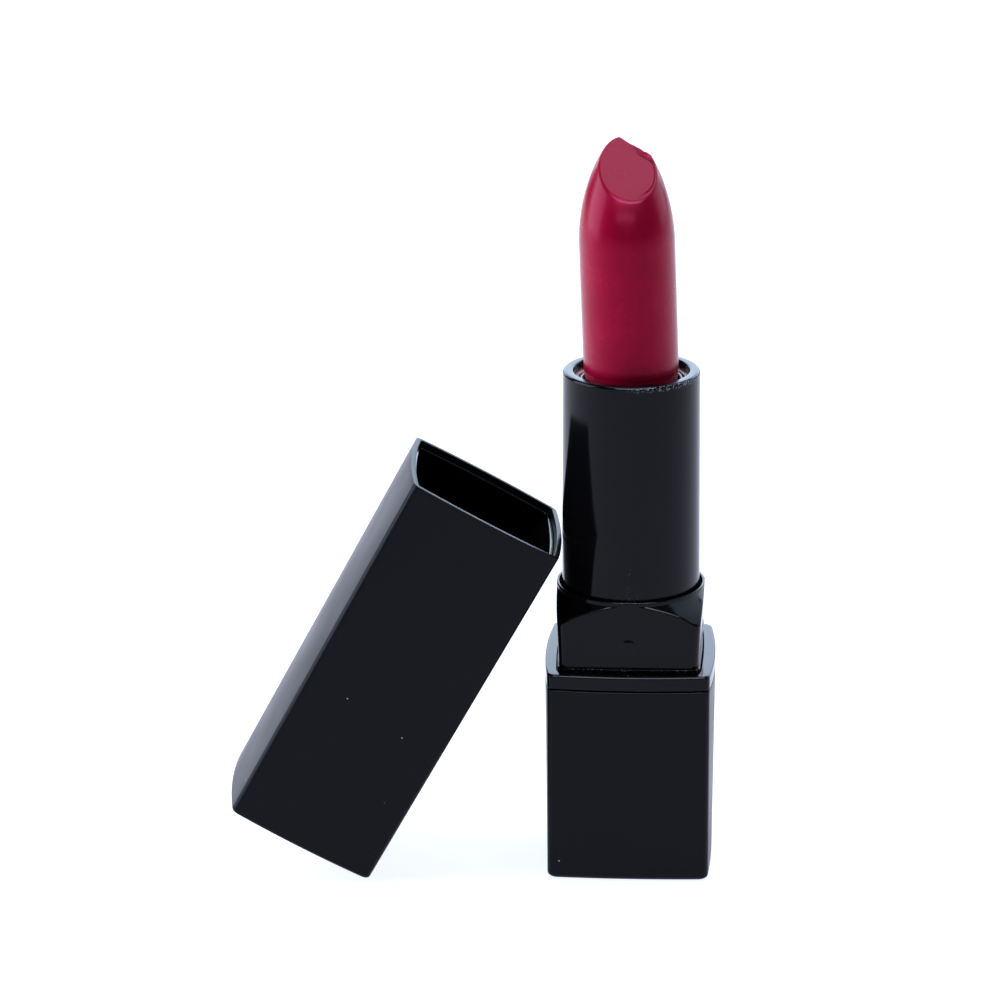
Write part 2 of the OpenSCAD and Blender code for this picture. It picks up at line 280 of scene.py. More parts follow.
def brushed(tree, place, size, stretch):
    """Noise drawn out along Z, for streaks and fine scratches."""
    scaled = add(tree, "ShaderNodeVectorMath", {0: place, 1: (1, 1, 1 / stretch)}, operation="MULTIPLY")
    return grain(tree, scaled.outputs[0], size, 3.0, 0.6)


def remap(tree, value, low, high, out_low=0.0, out_high=1.0):
    node = add(tree, "ShaderNodeMapRange", {
        "Value": value, "From Min": low, "From Max": high, "To Min": out_low, "To Max": out_high,
    })
    return node.outputs["Result"]


def times(tree, a, b):
    return add(tree, "ShaderNodeMath", {0: a, 1: b}, operation="MULTIPLY").outputs[0]


def plus(tree, a, b):
    return add(tree, "ShaderNodeMath", {0: a, 1: b}, operation="ADD").outputs[0]


def mixed(tree, factor, a, b):
    """Colour between a and b."""
    node = add(tree, "ShaderNodeMix", data_type="RGBA")
    for socket, value in ((node.inputs[0], factor), (node.inputs[6], a), (node.inputs[7], b)):
        if isinstance(value, bpy.types.NodeSocket):
            tree.links.new(value, socket)
        else:
            socket.default_value = value
    return node.outputs[2]


def specks(tree, place, cell, size, share):
    """Rare round dust specks: 1 on a speck, 0 elsewhere. A share of the cells holds one each."""
    cells = add(tree, "ShaderNodeTexVoronoi", {"Vector": place, "Scale": 1 / (cell * MM)})
    near = remap(tree, cells.outputs["Distance"], size / cell, 0.5 * size / cell)
    colour = add(tree, "ShaderNodeSeparateColor", {"Color": cells.outputs["Color"]})
    rare = remap(tree, colour.outputs["Red"], share, share - 0.01)
    return times(tree, near, rare)


def edges(tree, low=0.53, high=0.62):
    """Worn convex edges: 1 along a sharp outer edge, 0 on flat and hollow places."""
    shape = add(tree, "ShaderNodeNewGeometry")
    return remap(tree, shape.outputs["Pointiness"], low, high)


def set_bump(tree, shader, height, depth, strength=1.0):
    """Bump whose full height is depth millimetres."""
    node = add(tree, "ShaderNodeBump", {"Height": height, "Distance": depth * MM, "Strength": strength})
    tree.links.new(node.outputs["Normal"], shader.inputs["Normal"])


def satin_black():
    """Fine-grained black plastic of the base and the cap, with dust and softly rubbed edges."""
    material, tree, shader, place = new_material("satin_black", Specular_IOR_Level=0.1)
    fine = grain(tree, place, 0.12, 3.0)
    cloud = grain(tree, place, 9.0)
    rubbed = times(tree, edges(tree), remap(tree, grain(tree, place, 0.8, 4.0), 0.35, 0.7))
    dust = specks(tree, place, 2.2, 0.12, 0.2)
    body = mixed(tree, cloud, rgb("07070a"), rgb("0a0a0d"))
    worn = mixed(tree, times(tree, rubbed, 0.35), body, rgb("2c2f36"))
    tree.links.new(mixed(tree, dust, worn, rgb("a9acb4")), shader.inputs["Base Color"])
    rough = remap(tree, cloud, 0.3, 0.7, 0.3, 0.36)
    tree.links.new(plus(tree, rough, times(tree, rubbed, -0.08)), shader.inputs["Roughness"])
    set_bump(tree, shader, plus(tree, times(tree, fine, 0.3), dust), 0.004)
    return material


def gloss_black(name, worn_share):
    """Polished black plastic with hairline scratches. Its edges are chipped as far as worn_share."""
    material, tree, shader, place = new_material(name, Specular_IOR_Level=0.125)
    scratches = remap(tree, brushed(tree, place, 0.09, 14), 0.62, 0.75)
    cloud = grain(tree, place, 5.0)
    flakes = remap(tree, grain(tree, place, 0.35, 5.0, 0.7), 0.56, 0.66)
    chips = times(tree, edges(tree, 0.52, 0.58), flakes)
    dust = specks(tree, place, 2.2, 0.06, 0.1)
    body = mixed(tree, cloud, rgb("050506"), rgb("08080a"))
    worn = mixed(tree, times(tree, chips, worn_share), body, rgb("8f959e"))
    tree.links.new(mixed(tree, dust, worn, rgb("777b83")), shader.inputs["Base Color"])
    rough = plus(tree, remap(tree, cloud, 0.3, 0.7, 0.08, 0.14), times(tree, scratches, 0.12))
    tree.links.new(plus(tree, rough, times(tree, chips, 0.25)), shader.inputs["Roughness"])
    set_bump(tree, shader, plus(tree, times(tree, chips, -1), dust), 0.006)
    return material


def lipstick():
    """Cast lipstick: satin wax with a faint vertical draw and a matt bloom in patches."""
    material, tree, shader, place = new_material(
        "lipstick",
        Specular_IOR_Level=0.36,
        Specular_Tint=(1.0, 0.14, 0.28, 1.0),
        Subsurface_Weight=0.06,
        Subsurface_Scale=0.001,
        Subsurface_Radius=(1.0, 0.2, 0.25),
    )
    cloud = grain(tree, place, 4.0, 4.0)
    draw = brushed(tree, place, 0.5, 18)
    fine = grain(tree, place, 0.08, 2.0)
    colour = mixed(tree, remap(tree, cloud, 0.3, 0.7), rgb("840324"), rgb("92052a"))
    streaked = mixed(tree, remap(tree, draw, 0.35, 0.7, 0.0, 0.2), colour, rgb("76031f"))
    tree.links.new(streaked, shader.inputs["Base Color"])
    tree.links.new(remap(tree, cloud, 0.3, 0.7, 0.22, 0.29), shader.inputs["Roughness"])
    set_bump(tree, shader, plus(tree, times(tree, draw, 0.15), times(tree, fine, 0.35)), 0.006)
    return material


def paint_over(material, mask, colour):
    """Lays a colour over a material's own where mask(tree, place, axes) is 1."""
    tree = material.node_tree
    base_colour = tree.nodes["Principled BSDF"].inputs["Base Color"]
    under = base_colour.links[0].from_socket
    place = add(tree, "ShaderNodeTexCoord").outputs["Object"]
    axes = add(tree, "ShaderNodeSeparateXYZ", {"Vector": place}).outputs
    tree.links.new(mixed(tree, mask(tree, place, axes), under, rgb(colour)), base_colour)
    return material


def cup_black():
    """Polished cup with lipstick smeared round its rim."""
    def smear(tree, place, axes):
        rim = remap(tree, axes["Z"], (CUP_HIGH.z - 0.9) * MM, (CUP_HIGH.z - 0.1) * MM)
        patches = remap(tree, grain(tree, place, 1.1, 4.0, 0.6), 0.48, 0.56)
        return times(tree, rim, patches)

    return paint_over(gloss_black("cup_black", 0.3), smear, "b03a5c")


def shell_black():
    """Polished shell whose rim is chipped along a part of its turn."""
    def wear(tree, place, axes):
        low = remap(tree, axes["Z"], (SHELL_HIGH.z - 0.75) * MM, (SHELL_HIGH.z - 0.35) * MM)
        high = remap(tree, axes["Z"], (SHELL_HIGH.z - 0.02) * MM, (SHELL_HIGH.z - 0.12) * MM)
        front_right = plus(tree, axes["X"], times(tree, axes["Y"], -1))
        patch = remap(tree, front_right, 0.95 * SHELL_TOP_R * MM, 1.3 * SHELL_TOP_R * MM)
        chips = remap(tree, grain(tree, place, 0.28, 5.0, 0.75), 0.53, 0.6)
        return times(tree, times(tree, low, high), times(tree, patch, chips))

    return paint_over(gloss_black("shell_black", 0.5), wear, "a9b0ba")


def moulded(name, dark, light, roughness):
    """Plain moulded plastic or rubber with a faint flow pattern and a spark-eroded grain."""
    material, tree, shader, place = new_material(name)
    flow = grain(tree, place, 3.0, 4.0)
    fine = grain(tree, place, 0.1, 3.0)
    tree.links.new(mixed(tree, flow, rgb(dark), rgb(light)), shader.inputs["Base Color"])
    rough = remap(tree, fine, 0.3, 0.7, roughness - 0.06, roughness + 0.06)
    tree.links.new(rough, shader.inputs["Roughness"])
    set_bump(tree, shader, fine, 0.005)
    return material


def steel():
    """Zinc-plated steel block with rolling marks and grey patches."""
    material, tree, shader, place = new_material("ballast_steel", Metallic=1.0)
    marks = brushed(tree, place, 0.2, 25)
    patches = grain(tree, place, 1.6, 5.0, 0.6)
    tree.links.new(mixed(tree, patches, rgb("8b9096"), rgb("b2b6ba")), shader.inputs["Base Color"])
    tree.links.new(remap(tree, marks, 0.3, 0.7, 0.28, 0.45), shader.inputs["Roughness"])
    set_bump(tree, shader, marks, 0.004)
    return material


def label_film():
    """White film label with a soft paper-like mottle."""
    material, tree, shader, place = new_material("label_film")
    mottle = grain(tree, place, 0.4, 4.0)
    tree.links.new(mixed(tree, mottle, rgb("cfcfcb"), rgb("dededb")), shader.inputs["Base Color"])
    tree.links.new(remap(tree, mottle, 0.3, 0.7, 0.4, 0.52), shader.inputs["Roughness"])
    set_bump(tree, shader, mottle, 0.003)
    return material


def floor_paper():
    """Pale studio paper."""
    material, tree, shader, place = new_material(
        "floor_paper",
        Specular_IOR_Level=0.1,
        Emission_Color=(0.79, 0.82, 1.0, 1.0),
        Emission_Strength=1.08,
    )
    fibre = grain(tree, place, 1.5, 3.0)
    tree.links.new(mixed(tree, fibre, rgb("8c8d8e"), rgb("909192")), shader.inputs["Base Color"])
    tree.links.new(remap(tree, fibre, 0.3, 0.7, 0.85, 0.95), shader.inputs["Roughness"])
    return material


# Mesh tools. Outlines are lists of points in millimetres, and rings are outlines at a height.


def spin(x, y, angle):
    return x * math.cos(angle) - y * math.sin(angle), x * math.sin(angle) + y * math.cos(angle)


def even(steps):
    """Places along a face, from -1 at one end to 1 at the other."""
    return [2 * i / steps - 1 for i in range(steps + 1)]


def pillow(width, bow_r=CASE_BOW_R, corner_r=CASE_CORNER_R, places=even(32), corner_steps=10):
    """Outline of a square with four bowed sides and rounded corners, from its +X side round."""
    behind = bow_r - width / 2
    span = bow_r - corner_r
    corner = (math.sqrt(2 * span * span - behind * behind) - behind) / 2
    half = math.atan2(corner, corner + behind)
    side = [(bow_r * math.cos(half * f) - behind, bow_r * math.sin(half * f)) for f in places]
    for i in range(1, corner_steps):
        t = half + (math.pi / 2 - 2 * half) * i / corner_steps
        side.append((corner + corner_r * math.cos(t), corner + corner_r * math.sin(t)))
    return [spin(x, y, k * math.pi / 2) for k in range(4) for x, y in side]


def ring(z, outline):
    """An outline at a height."""
    return [Vector((x, y, z)) for x, y in outline]


def circle(r, steps):
    """Outline of a circle about the axis."""
    turns = [2 * math.pi * i / steps for i in range(steps)]
    return [(r * math.cos(t), r * math.sin(t)) for t in turns]


def blend(low, high, share):
    """Outline between two outlines with the same number of points."""
    return [(x + (u - x) * share, y + (v - y) * share) for (x, y), (u, v) in zip(low, high)]


def rounding(r, steps=6):
    """Points (in, up) of a quarter round: from (r, 0) in from the edge to (0, r) up it."""
    turns = [math.pi / 2 * i / steps for i in range(steps + 1)]
    return [(r * (1 - math.sin(t)), r * (1 - math.cos(t))) for t in turns]


def join_rows(mesh, low, high):
    """Faces between two rows with the same number of vertices."""
    for i in range(len(low)):
        j = (i + 1) % len(low)
        mesh.faces.new((low[i], low[j], high[j], high[i]))


def skin(rings, closed_loop=False):
    """Mesh through the rings in order. The ends are closed, or the last ring joins the first."""
    mesh = bmesh.new()
    rows = [[mesh.verts.new(p) for p in points] for points in rings]
    for low, high in zip(rows, rows[1:]):
        join_rows(mesh, low, high)
    if closed_loop:
        join_rows(mesh, rows[-1], rows[0])
    else:
        for row in (rows[0], rows[-1]):
            centre = mesh.verts.new(sum((v.co for v in row), Vector()) / len(row))
            for i in range(len(row)):
                mesh.faces.new((row[i], row[(i + 1) % len(row)], centre))
    bmesh.ops.remove_doubles(mesh, verts=mesh.verts, dist=WELD)
    bmesh.ops.recalc_face_normals(mesh, faces=mesh.faces)
    return mesh


def make_object(name, mesh, crease=40):
    """Object from a mesh in millimetres. Edges bent more than crease degrees stay sharp."""
    data = bpy.data.meshes.new(name)
    bmesh.ops.scale(mesh, vec=(MM, MM, MM), verts=mesh.verts)
    mesh.to_mesh(data)
    mesh.free()
    data.shade_smooth()
    data.set_sharp_from_angle(angle=math.radians(crease))
    obj = bpy.data.objects.new(name, data)
    bpy.context.scene.collection.objects.link(obj)
    weighted = obj.modifiers.new("even_normals", "WEIGHTED_NORMAL")
    weighted.keep_sharp = True
    return obj


def stand_in(name, mesh, material, body, node):
    """Makes the object, gives it its material and body, and lets it stand for the CAD node."""
    obj = make_object(name, mesh)
    obj.data.materials.append(material)
    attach(obj, body)
    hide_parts(node)


def parked_skin(rings):
    """Skin of a cap piece, moved from its own axis to where the cap leans."""
    mesh = skin(rings)
    bmesh.ops.transform(mesh, matrix=parked(), verts=mesh.verts)
    return mesh


def upright(way, r, z):
    """Point at a height and at a distance from the axis, in a level direction."""
    return way * r + Vector((0, 0, z))


def last_height(low, high, holds):
    """Height between low and high up to which a condition holds."""
    for _ in range(40):
        middle = (low + high) / 2
        if holds(middle):
            low = middle
        else:
            high = middle
    return low


def bend(start, turn, end, steps):
    """Points, after the start, of a curve that sets off towards the turn and ends at the end."""
    points = []
    for i in range(1, steps + 1):
        t = i / steps
        points.append(start * (1 - t) ** 2 + turn * (2 * t * (1 - t)) + end * t ** 2)
    return points


def smoothstep(low, high, value):
    t = min(1.0, max(0.0, (value - low) / (high - low)))
    return t * t * (3 - 2 * t)


# Pieces


def base_w(z):
    """Width of the tapered base at a height."""
    return BASE_FOOT_W + (CASE_W - BASE_FOOT_W) * z / BASE_H


def base_shell():
    """Square cup with a recess for the label, a rounded foot and a thin rolled rim."""
    rings = []
    for z, out in ((RECESS_DEPTH, -1), (RECESS_DEPTH, 0), (0.1, 0), (0, 0.1), (0, 0.6)):
        rings.append(ring(z, pillow(RECESS_W + 2 * out, CAVITY_BOW_R, RECESS_CORNER_R)))
    for inset, z in rounding(BASE_EDGE_R, 10):
        rings.append(ring(z, pillow(base_w(z) - 2 * inset, FOOT_BOW_R)))
    foot = pillow(base_w(BASE_EDGE_R), FOOT_BOW_R)
    head = pillow(CASE_W)
    for z in (BASE_EDGE_R + 0.3, BASE_H / 2, BASE_H - 0.6):
        share = (z - BASE_EDGE_R) / (BASE_H - BASE_EDGE_R)
        rings.append(ring(z, blend(foot, head, share)))
    for inset, down in reversed(rounding(RIM_EDGE_R, 4)):
        rings.append(ring(BASE_H - down, pillow(CASE_W - 2 * inset)))
    cavity = pillow(CAVITY_W, CAVITY_BOW_R, CAVITY_CORNER_R)
    rings.append(ring(BASE_H, cavity))
    rings.append(ring(CAVITY_FLOOR_Z, cavity))
    return skin(rings)


def shoulder_plate():
    """Square ring over the seam, with a soft upper edge and an opening for the collar."""
    spigot = pillow(SPIGOT_W, CAVITY_BOW_R, CAVITY_CORNER_R)
    rings = [ring(SHOULDER_LOW.z, spigot), ring(SEAM_Z, spigot)]
    for inset, z in rounding(RIM_EDGE_R, 4):
        rings.append(ring(SEAM_Z + z, pillow(CASE_W - 2 * inset)))
    rings.append(ring(SEAM_Z + 0.4, pillow(CASE_W)))
    for inset, down in reversed(rounding(SHOULDER_EDGE_R, 8)):
        rings.append(ring(SHOULDER_Z - down, pillow(CASE_W - 2 * inset)))
    opening_w = PLINTH_W + 2 * PLINTH_GAP
    for z, out in ((SHOULDER_Z, 0.3), (SHOULDER_Z, 0.08), (SHOULDER_Z - 0.08, 0), (SHOULDER_LOW.z, 0)):
        rings.append(ring(z, pillow(opening_w + 2 * out, COLLAR_BOW_R, COLLAR_CORNER_R + PLINTH_GAP)))
    return skin(rings, closed_loop=True)


def dome_profile():
    """Outside of the collar above its corners, as (radius, height) from low to high."""
    steps = [(RING_R + out, -down) for out, down in DOME_STEPS]
    points = [(CASE_W, -DOME_DROP)]
    for low, high in zip(steps, steps[1:]):
        for i in range(6):
            points += blend([low], [high], i / 6)
    points += [(RING_R, -RING_LAND), (RING_R, -RING_LAND + 0.08), (RING_R, -RING_LIP_R - 0.06)]
    for inset, down in reversed(rounding(RING_LIP_R, 5)):
        points.append((RING_R - inset, -down))
    return [(r, RING_TOP_Z + z) for r, z in points]


def dome_r(dome, z):
    """Radius of the dome's profile at a height."""
    for (r0, z0), (r1, z1) in zip(dome, dome[1:]):
        if z <= z1:
            return r0 + (r1 - r0) * (z - z0) / (z1 - z0)
    return dome[-1][0]


def collar_share(z):
    """Width of the tapered collar at a height, as a share of its width at the top."""
    rise = max(0.0, (z - SHOULDER_Z) / (RING_TOP_Z - SHOULDER_Z))
    return (COLLAR_FOOT_W + (COLLAR_TOP_W - COLLAR_FOOT_W) * rise) / COLLAR_TOP_W


def bump_height(across, z):
    """How far a face of the collar stands out at this place because of its round bump."""
    ball_r = (BUMP_R ** 2 + BUMP_RISE ** 2) / (2 * BUMP_RISE)
    off = math.hypot(across, z - BUMP_Z)
    return max(0.0, math.sqrt(max(0.0, ball_r ** 2 - off ** 2)) - ball_r + BUMP_RISE)


def crowded(fine_half, fine_steps, coarse_steps, half):
    """Places along a face that are close together within fine_half millimetres of its middle."""
    fine = [fine_half * (2 * i / fine_steps - 1) / half for i in range(fine_steps + 1)]
    coarse = (half - fine_half) / coarse_steps
    out = [(fine_half + coarse * i) / half for i in range(1, coarse_steps + 1)]
    return [-f for f in reversed(out)] + fine + out


def collar_column(x, y, dome):
    """Points up one line of the collar: up its flat, over the bump and the arch's edge, to the ring."""
    reach = math.hypot(x, y)
    way = Vector((x, y, 0)) / reach

    def flat(z, out=0.0):
        return upright(way, reach * collar_share(z) + out, z)

    arch_z = last_height(SHOULDER_Z, RING_TOP_Z, lambda z: reach * collar_share(z) < dome_r(dome, z))
    top = arch_z - ARCH_EDGE
    foot_zs = [SHOULDER_Z + PLINTH_H + up for up in (0, 0.06, 0.5)]
    foot_z = foot_zs[-1]
    column = [flat(z) for z in foot_zs]

    bump_zs = [BUMP_Z + BUMP_PATCH * f for f in even(32)]
    bump_top = bump_zs[-1]
    squeeze = min(1.0, (top - foot_z) / (bump_top + 0.4 - foot_z))
    fade = smoothstep(bump_top, bump_top + 0.6, arch_z)
    across = min(abs(x), abs(y))
    for z in bump_zs:
        column.append(flat(foot_z + (z - foot_z) * squeeze, bump_height(across, z) * fade))

    last = column[-1].z
    column += [flat(last + (top - last) * i / 4) for i in range(1, 5)]
    over_z = arch_z + ARCH_EDGE * 0.6
    end_z = min(over_z, RING_TOP_Z)
    end = upright(way, dome_r(dome, end_z), end_z)
    column += bend(flat(top), flat(arch_z), end, 4)
    over = [upright(way, r, z) for r, z in dome if z > over_z]
    return column + [end.copy() for _ in range(len(dome) - len(over))] + over


def collar():
    """Square collar whose top turns into a round ring, so that each flat ends in a crisp arch."""
    places = crowded(BUMP_PATCH, 32, 18, COLLAR_TOP_W / 2)
    outline = pillow(COLLAR_TOP_W, COLLAR_BOW_R, COLLAR_CORNER_R, places, 12)
    ways = [Vector((x, y, 0)).normalized() for x, y in outline]
    dome = dome_profile()
    columns = [collar_column(x, y, dome) for x, y in outline]

    def square(z, width, bow_r=COLLAR_BOW_R, corner_r=COLLAR_CORNER_R):
        return ring(z, pillow(width, bow_r, corner_r, places, 12))

    def round_ring(z, r):
        return [upright(way, r, z) for way in ways]

    flange_z = COLLAR_LOW.z + FLANGE_T
    plinth_z = SHOULDER_Z + PLINTH_H
    foot = [
        round_ring(COLLAR_LOW.z, COLLAR_BORE_R),
        square(COLLAR_LOW.z, SPIGOT_W, CAVITY_BOW_R, CAVITY_CORNER_R),
        square(flange_z, SPIGOT_W, CAVITY_BOW_R, CAVITY_CORNER_R),
        square(flange_z, COLLAR_FOOT_W),
        square(SEAM_Z, COLLAR_FOOT_W),
        square(SEAM_Z, PLINTH_W),
        square(plinth_z - 0.3, PLINTH_W),
        square(plinth_z - 0.05, PLINTH_W),
        square(plinth_z, PLINTH_W - 0.1),
    ]
    lip = [
        round_ring(RING_TOP_Z, RING_BORE_R + 0.1),
        round_ring(RING_TOP_Z - 0.03, RING_BORE_R + 0.03),
        round_ring(RING_TOP_Z - 0.1, RING_BORE_R),
        round_ring(SHELL_SEAT_Z, RING_BORE_R),
        round_ring(SHELL_SEAT_Z, COLLAR_BORE_R),
    ]
    return skin(foot + list(zip(*columns)) + lip, closed_loop=True)


def a_shell():
    """Round outer tube with a full-rounded shoulder and a mouth turned in over the mechanism."""
    foot, top = SHELL_LOW.z, SHELL_HIGH.z
    profile = [(SHELL_BORE_R, foot), (SHELL_FOOT_R - 0.08, foot), (SHELL_FOOT_R, foot + 0.08)]
    for i in range(1, 8):
        profile += blend([(SHELL_FOOT_R, foot)], [(SHELL_TOP_R, top - SHELL_RIM_R)], i / 8)
    for inset, down in reversed(rounding(SHELL_RIM_R, 12)):
        profile.append((SHELL_TOP_R - inset, top - down))
    for inset, down in rounding(MOUTH_EDGE_R, 6):
        profile.append((MOUTH_R + inset, top - down))
    profile += [(MOUTH_R, top - LIP_T), (SHELL_BORE_R, top - LIP_T)]
    return skin([ring(z, circle(r, 192)) for r, z in profile], closed_loop=True)


def cup():
    """Cup that grips the bullet, with a rounded rim and two drive pegs."""
    low, high = CUP_LOW.z, CUP_HIGH.z
    wall = CUP_R - CUP_BORE_R
    profile = [(CUP_R - 0.2, low), (CUP_R, low + 0.2), (CUP_R, high - 1)]
    for inset, down in reversed(rounding(wall / 2, 6)):
        profile.append((CUP_R - inset, high - down))
    for inset, down in rounding(wall / 2, 6):
        profile.append((CUP_BORE_R + inset, high - down))
    floor_z = low + CUP_FLOOR_T
    profile += [(CUP_BORE_R, floor_z), (CUP_HOLE_R, floor_z), (CUP_HOLE_R, low)]
    mesh = skin([ring(z, circle(r, 128)) for r, z in profile], closed_loop=True)
    for side in (-1, 1):
        add_peg(mesh, side)
    return mesh


def add_peg(mesh, side):
    """One drive peg, with a rounded end, from inside the cup's wall outward."""
    reach = CUP_HIGH.x
    levels = (
        (CUP_BORE_R + 0.2, PEG_R),
        (reach - 0.2, PEG_R),
        (reach - 0.06, PEG_R - 0.06),
        (reach, PEG_R - 0.2),
    )
    rows = []
    for out, r in levels:
        rows.append([mesh.verts.new((side * out, y, PEG_Z + z)) for y, z in circle(r, 32)])
    for low, high in zip(rows, rows[1:]):
        join_rows(mesh, low, high)
    for end in (rows[0], rows[-1]):
        mesh.faces.new(end)
    bmesh.ops.recalc_face_normals(mesh, faces=mesh.faces)


def cut_plane(slope, direction, depth):
    """Point and normal of a sloping cut, at a depth below the uncut point of the bullet."""
    normal = Vector((
        math.sin(slope) * math.cos(direction),
        math.sin(slope) * math.sin(direction),
        math.cos(slope),
    ))
    return Vector((0, 0, BULLET_TOP)) - normal * depth, normal


def above(place, cuts):
    """How far a place lies outside the cuts: negative when it is inside them all."""
    return max((place - at).dot(normal) for at, normal in cuts)


def point_centre(z):
    """Middle and radius of the uncut bullet at a height above the cup's rim."""
    u = max(0.0, 1 - (BULLET_TOP - z) / POINT_H)
    return Vector((0, POINT_BEND * u * u, z)), BULLET_R * max(0.0, 1 - u * u) ** POINT_POWER


def side_point(way, z):
    """Point on the uncut bullet's side, in a level direction from its middle."""
    centre, r = point_centre(z)
    return centre + way * r


def ridge_ends(cuts):
    """Where the line that the two cuts share leaves the bullet."""
    (at, normal), (other_at, other_normal) = cuts
    along = normal.cross(other_normal)
    start = at.dot(normal) * other_normal.cross(along)
    start += other_at.dot(other_normal) * along.cross(normal)
    start /= along.length_squared
    along.normalize()
    if along.x < 0:
        along.negate()
    inside = []
    for i in range(-3000, 3001):
        place = start + along * (i * 0.01)
        centre, r = point_centre(place.z)
        if r > 0 and (place - centre).length < r:
            inside.append(place)
    return inside[0], inside[-1]


def column_turns(ends):
    """Directions of the bullet's columns, crowded together at the two ends of the ridge."""
    one_side = (0.4, 0.9, 1.6, 2.4, 3.4)
    near = [math.radians(sign * a) for sign in (-1, 1) for a in one_side] + [0]
    clear = math.radians(4.2)
    turns = []
    for end in ends:
        centre, _ = point_centre(end.z)
        turns.append(math.atan2(end.y - centre.y, end.x))
    evenly = [2 * math.pi * i / 180 - math.pi for i in range(180)]

    def apart(a, b):
        return abs((a - b + math.pi) % (2 * math.pi) - math.pi)

    kept = [t for t in evenly if all(apart(t, turn) > clear for turn in turns)]
    return sorted(kept + [turn + step for turn in turns for step in near])


def cut_top(place, cuts, tip, tail):
    """Drops a place onto the cuts, with a burr along their shared ridge and a groove beside it."""
    height = min(at.z - (place - at).to_2d().dot(n.to_2d()) / n.z for at, n in cuts)
    ridge = (tail - tip).to_2d().normalized()
    from_crown = (place - (tip + tail) / 2).to_2d()
    along = from_crown.dot(ridge)
    off = abs(from_crown.cross(ridge))
    wave = 0.65 + 0.6 * noise.noise((along * 1.6, 0.3, 7.7))
    burr = BURR_H * wave * math.exp(-(off / 0.18) ** 2)
    groove = GROOVE_DEPTH * math.exp(-((off - 0.48) / 0.12) ** 2)
    return Vector((place.x, place.y, height + (burr - groove) * smoothstep(-0.9, 0.4, along)))


def bullet_column(turn, cuts, tip, tail):
    """Points up one line of the bullet: from its scraped foot, over the cut's rim, to the ridge."""
    way = Vector((math.cos(turn), math.sin(turn), 0))
    foot_z = SCRAPED_H + 0.16 * noise.noise((3 * way.x, 3 * way.y, 3.1))
    scraped = (
        (0.25, -0.8),
        (0.09, 0.5),
        (0.07, foot_z - 0.1),
        (0.05, foot_z - 0.02),
        (0.01, foot_z + 0.03),
        (0, foot_z + 0.12),
    )
    column = [upright(way, BULLET_R - inset, z) for inset, z in scraped]

    cut_z = last_height(0.0, BULLET_TOP, lambda z: above(side_point(way, z), cuts) < 0)
    cut = side_point(way, cut_z)
    edge = 0.15 + 0.28 * max(0.0, math.cos(turn - SOFT_RIM_TURN))
    bend_z = BULLET_TOP - POINT_H
    edge_z = cut_z - edge
    column += [side_point(way, foot_z + (bend_z - foot_z) * k / 10) for k in range(1, 11)]
    column += [side_point(way, bend_z + (edge_z - bend_z) * k / 30) for k in range(1, 31)]
    crown = (tip + tail) / 2
    end = cut + (crown - cut).normalized() * edge
    column += bend(side_point(way, edge_z), cut, end, 6)

    reach = (crown - end).length
    scored = smoothstep(-1.35, -1.1, turn) * smoothstep(0.2, -0.1, turn)
    for k in range(1, 34):
        share = (k / 34) ** 1.8
        place = cut_top(end.lerp(crown, share), cuts, tip, tail)
        place.z -= SCORE_DEPTH * scored * math.exp(-((share * reach - 0.45) / 0.09) ** 2)
        column.append(place)
    return column


def bullet():
    """Leaning bullet with a slanted face and a back cut, over a plain foot inside the cup."""
    cuts = [cut_plane(FACET_SLOPE, FACET_TURN, FACET_DEPTH), cut_plane(BACK_SLOPE, BACK_TURN, 0)]
    tip, tail = ridge_ends(cuts)
    columns = [bullet_column(turn, cuts, tip, tail) for turn in column_turns((tip, tail))]
    mesh = skin(list(zip(*columns)))
    lean = Matrix.Rotation(-BULLET_LEAN, 4, "Y")
    bmesh.ops.transform(mesh, matrix=Matrix.Translation((0, 0, CUP_HIGH.z)) @ lean, verts=mesh.verts)
    foot = circle(BULLET_R - 0.2, 96)
    add_rings(mesh, [ring(CUP_LOW.z + CUP_FLOOR_T, foot), ring(CUP_HIGH.z - 0.3, foot)])
    return mesh


def add_rings(mesh, rings):
    """Adds another closed skin to a mesh."""
    extra = skin(rings)
    data = bpy.data.meshes.new("extra")
    extra.to_mesh(data)
    extra.free()
    mesh.from_mesh(data)
    bpy.data.meshes.remove(data)


def parked():
    """Places the standing cap where it leans with its mouth against the shell."""
    sine, cosine = math.sin(CAP_LEAN), math.cos(CAP_LEAN)
    stand_z = (CAP_END_W / 2 - CAP_EDGE_R) * sine - CAP_EDGE_R * cosine + CAP_EDGE_R
    mouth_x = CAP_LEN * sine + CASE_W / 2 * cosine
    mouth_z = stand_z + CAP_LEN * cosine - CASE_W / 2 * sine
    rise = (mouth_z - SHELL_LOW.z) / (SHELL_HIGH.z - SHELL_LOW.z)
    shell_r = SHELL_FOOT_R + (SHELL_TOP_R - SHELL_FOOT_R) * rise
    foot = Vector((-shell_r - CAP_GAP - mouth_x, CAP_Y, stand_z))
    place = Matrix.Rotation(CAP_SIDE, 4, "Z") @ Matrix.Translation(foot)
    lean = Matrix.Rotation(CAP_TURN, 4, "Z") @ Matrix.Rotation(CAP_LEAN, 4, "Y")
    return place @ lean @ Matrix.Rotation(CAP_SPIN - CAP_TURN, 4, "Z")


def cap_w(z):
    """Width of the tapered cap at a distance from its closed end."""
    return CAP_END_W + (CASE_W - CAP_END_W) * z / CAP_LEN


